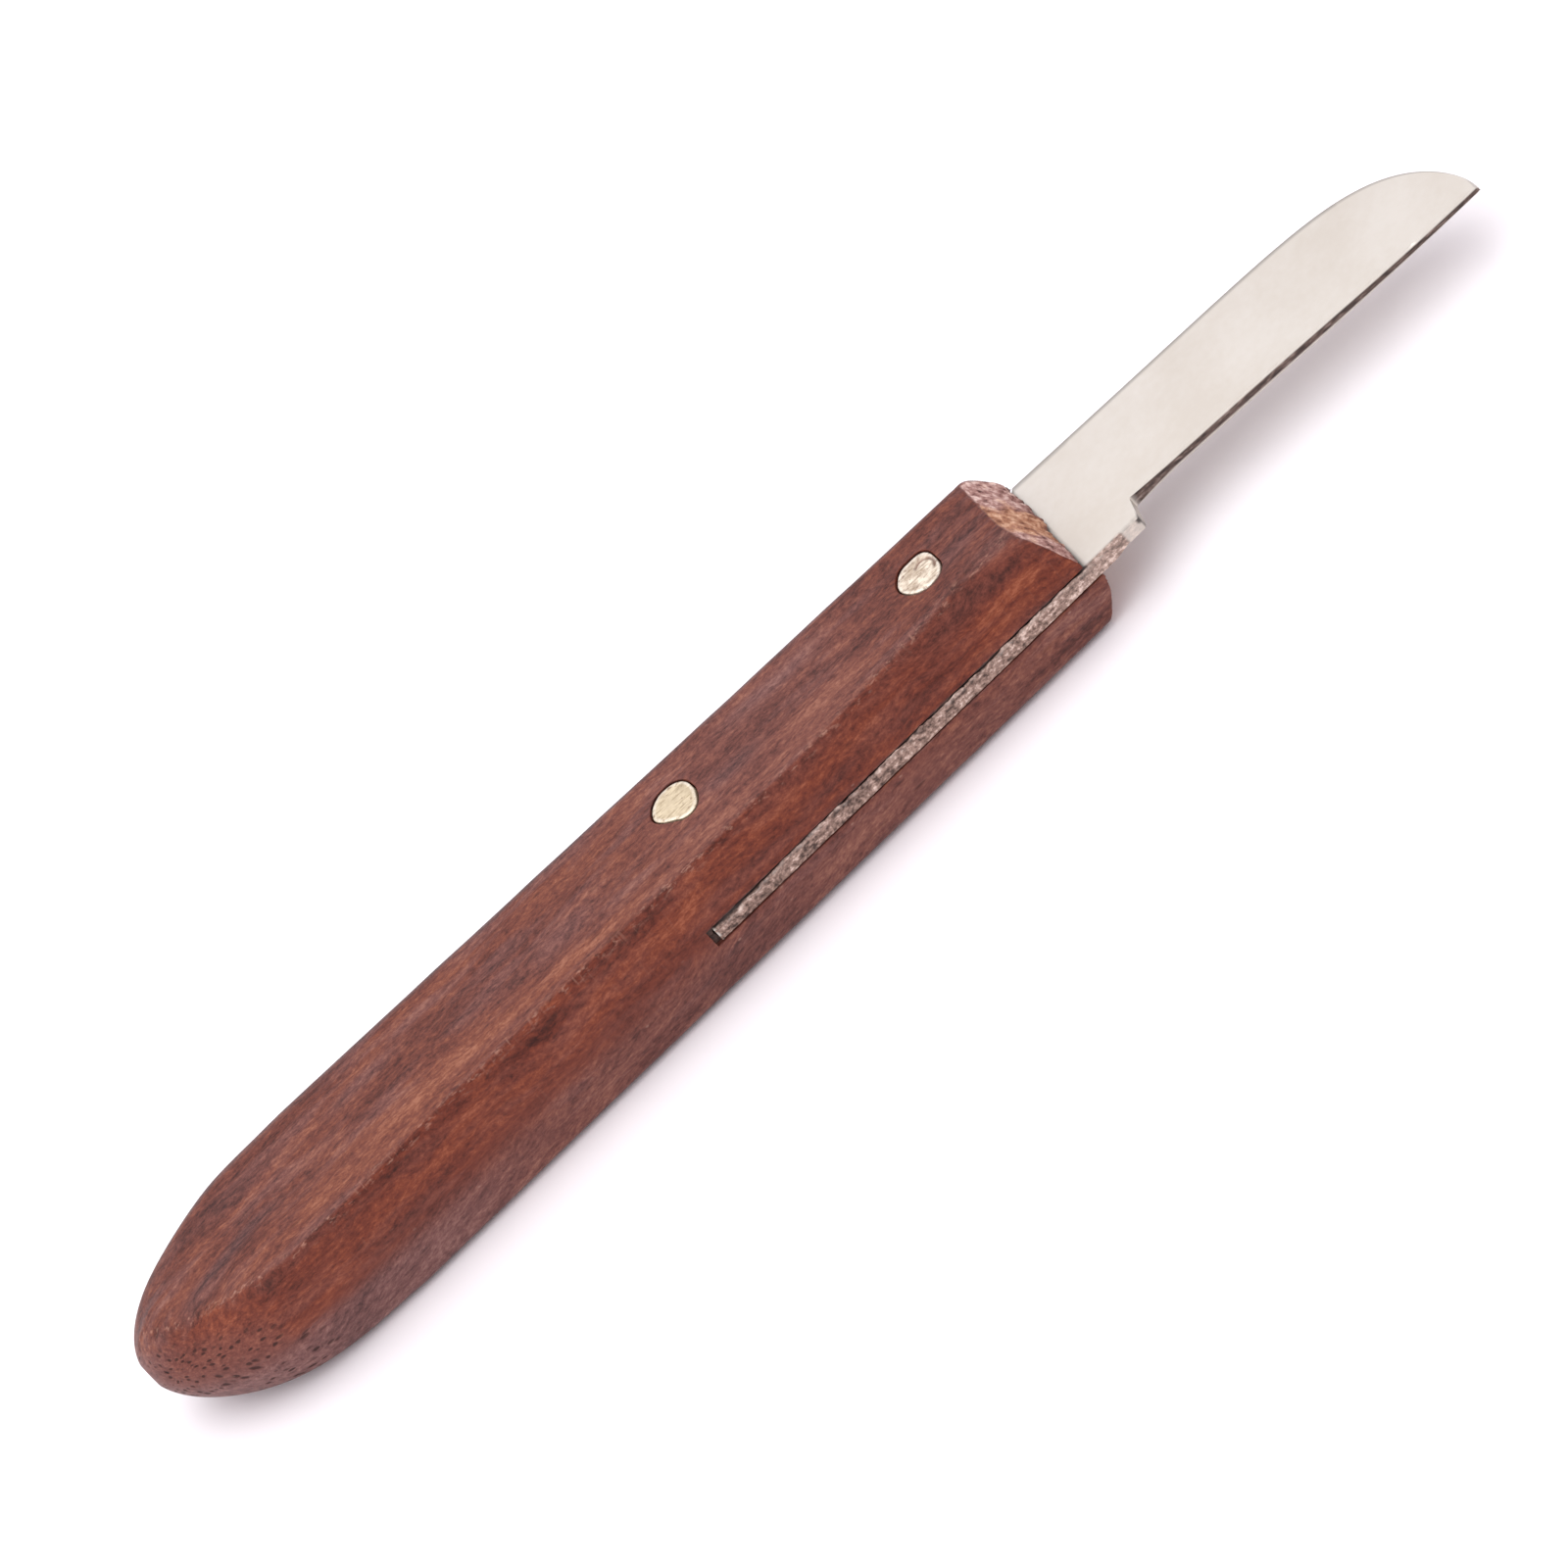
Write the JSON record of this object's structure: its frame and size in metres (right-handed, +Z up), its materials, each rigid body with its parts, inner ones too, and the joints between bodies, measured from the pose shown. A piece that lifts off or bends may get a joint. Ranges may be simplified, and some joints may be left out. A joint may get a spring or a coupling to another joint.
{
  "type": "hoof knife",
  "caption": "Straight fixed blade with a heel step and curved end, pinned in a one-piece rosewood handle with a rounded butt; pares and trims by hand.",
  "frame": {"origin": "middle of the footprint, on the broad face of the handle that the knife lies on", "axes": "+X from the butt to the blade tip, -Y the cutting-edge side, +Y the spine side, +Z up off the face it lies on"},
  "size_m": [0.1816, 0.0202, 0.016],
  "materials": {
    "rosewood": "oiled, satin",
    "blade_steel": "fine satin",
    "pin_metal": "sanded flush",
    "bedding_resin": "matt"
  },
  "bodies": {
    "root": {"handle": "rosewood", "blade": "blade_steel", "front_pin": "pin_metal", "rear_pin": "pin_metal", "tang_bedding": "bedding_resin"}
  },
  "joints": []
}
